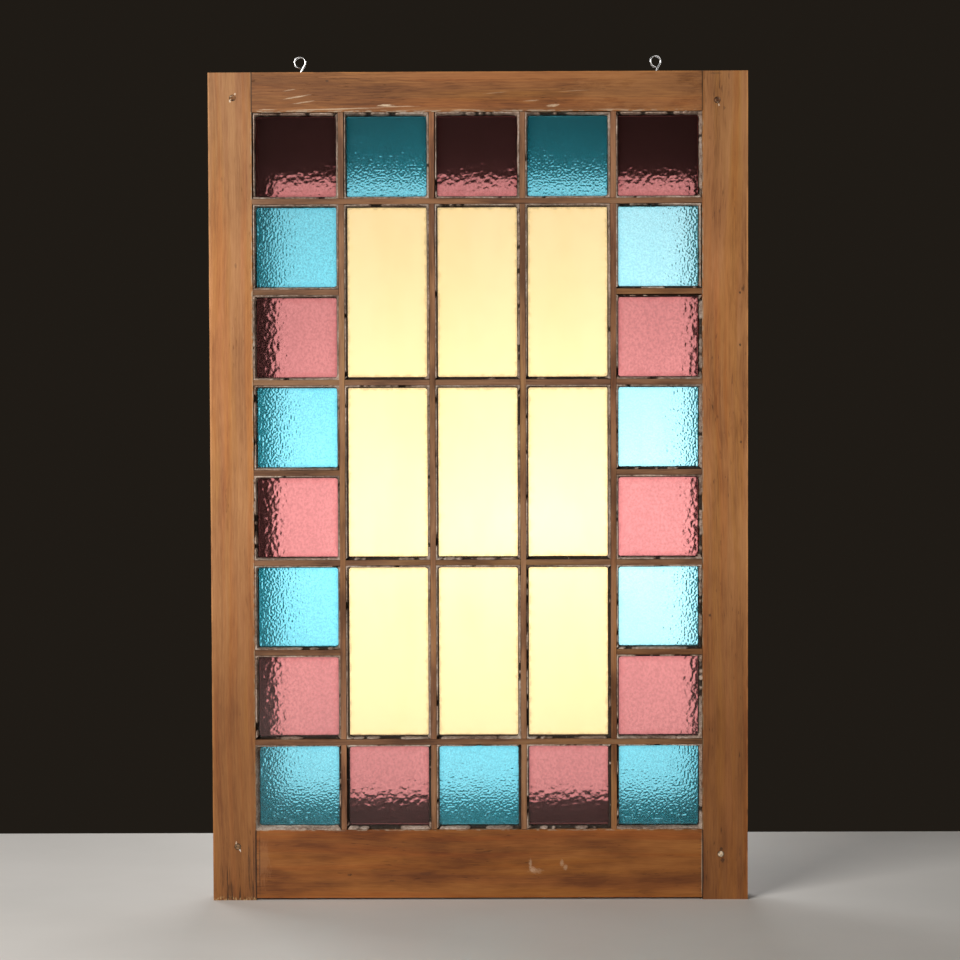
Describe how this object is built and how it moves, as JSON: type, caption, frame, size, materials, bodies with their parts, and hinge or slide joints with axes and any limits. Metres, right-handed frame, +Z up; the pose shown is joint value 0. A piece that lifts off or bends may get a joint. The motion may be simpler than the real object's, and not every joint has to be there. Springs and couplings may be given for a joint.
{
  "type": "stained glass window sash",
  "caption": "Upright pegged wooden window sash glazed with a border of small purple and blue textured squares round tall straw-coloured panes, with screw eyes to hang it by.",
  "frame": {"origin": "middle of the top edge of the sash, at half its thickness, in line with the two screw eyes it hangs by", "axes": "+X across the sash to the right as seen from the putty side, +Y from the putty side towards the room side, +Z up"},
  "size_m": [0.61, 0.035, 0.9612],
  "materials": {
    "frame_wood": "aged pine with worn varnish, dusty and faded",
    "bar_wood": "greyed and worn bare wood on the glazing bars",
    "pin_wood": "dark end grain",
    "purple_glass": "translucent rippled cathedral glass",
    "blue_glass": "translucent finely hammered cathedral glass",
    "straw_glass": "translucent, nearly smooth glass with faint seeds",
    "putty": "dry, cracked and dirty glazing putty",
    "bright_steel": "bright zinc-plated wire"
  },
  "bodies": {
    "root": {"bar_cross_1": "bar_wood", "bar_cross_3": "bar_wood", "bar_cross_5": "bar_wood", "bar_cross_7": "bar_wood", "bar_short_2_left": "bar_wood", "bar_short_2_right": "bar_wood", "bar_short_4_left": "bar_wood", "bar_short_4_right": "bar_wood", "bar_short_6_left": "bar_wood", "bar_short_6_right": "bar_wood", "bar_upright_1": "bar_wood", "bar_upright_2": "bar_wood", "bar_upright_3": "bar_wood", "bar_upright_4": "bar_wood", "pane_blue_r1_c2": "blue_glass", "pane_blue_r1_c4": "blue_glass", "pane_blue_r2_c1": "blue_glass", "pane_blue_r2_c5": "blue_glass", "pane_blue_r4_c1": "blue_glass", "pane_blue_r4_c5": "blue_glass", "pane_blue_r6_c1": "blue_glass", "pane_blue_r6_c5": "blue_glass", "pane_blue_r8_c1": "blue_glass", "pane_blue_r8_c3": "blue_glass", "pane_blue_r8_c5": "blue_glass", "pane_purple_r1_c1": "purple_glass", "pane_purple_r1_c3": "purple_glass", "pane_purple_r1_c5": "purple_glass", "pane_purple_r3_c1": "purple_glass", "pane_purple_r3_c5": "purple_glass", "pane_purple_r5_c1": "purple_glass", "pane_purple_r5_c5": "purple_glass", "pane_purple_r7_c1": "purple_glass", "pane_purple_r7_c5": "purple_glass", "pane_purple_r8_c2": "purple_glass", "pane_purple_r8_c4": "purple_glass", "pane_straw_r2_c2": "straw_glass", "pane_straw_r2_c3": "straw_glass", "pane_straw_r2_c4": "straw_glass", "pane_straw_r4_c2": "straw_glass", "pane_straw_r4_c3": "straw_glass", "pane_straw_r4_c4": "straw_glass", "pane_straw_r6_c2": "straw_glass", "pane_straw_r6_c3": "straw_glass", "pane_straw_r6_c4": "straw_glass", "pin_bottom_left": "pin_wood", "pin_bottom_right": "pin_wood", "pin_top_left": "pin_wood", "pin_top_right": "pin_wood", "rail_bottom": "frame_wood", "rail_top": "frame_wood", "screw_eye_left": "bright_steel", "screw_eye_right": "bright_steel", "stile_left": "frame_wood", "stile_right": "frame_wood"}
  },
  "joints": []
}
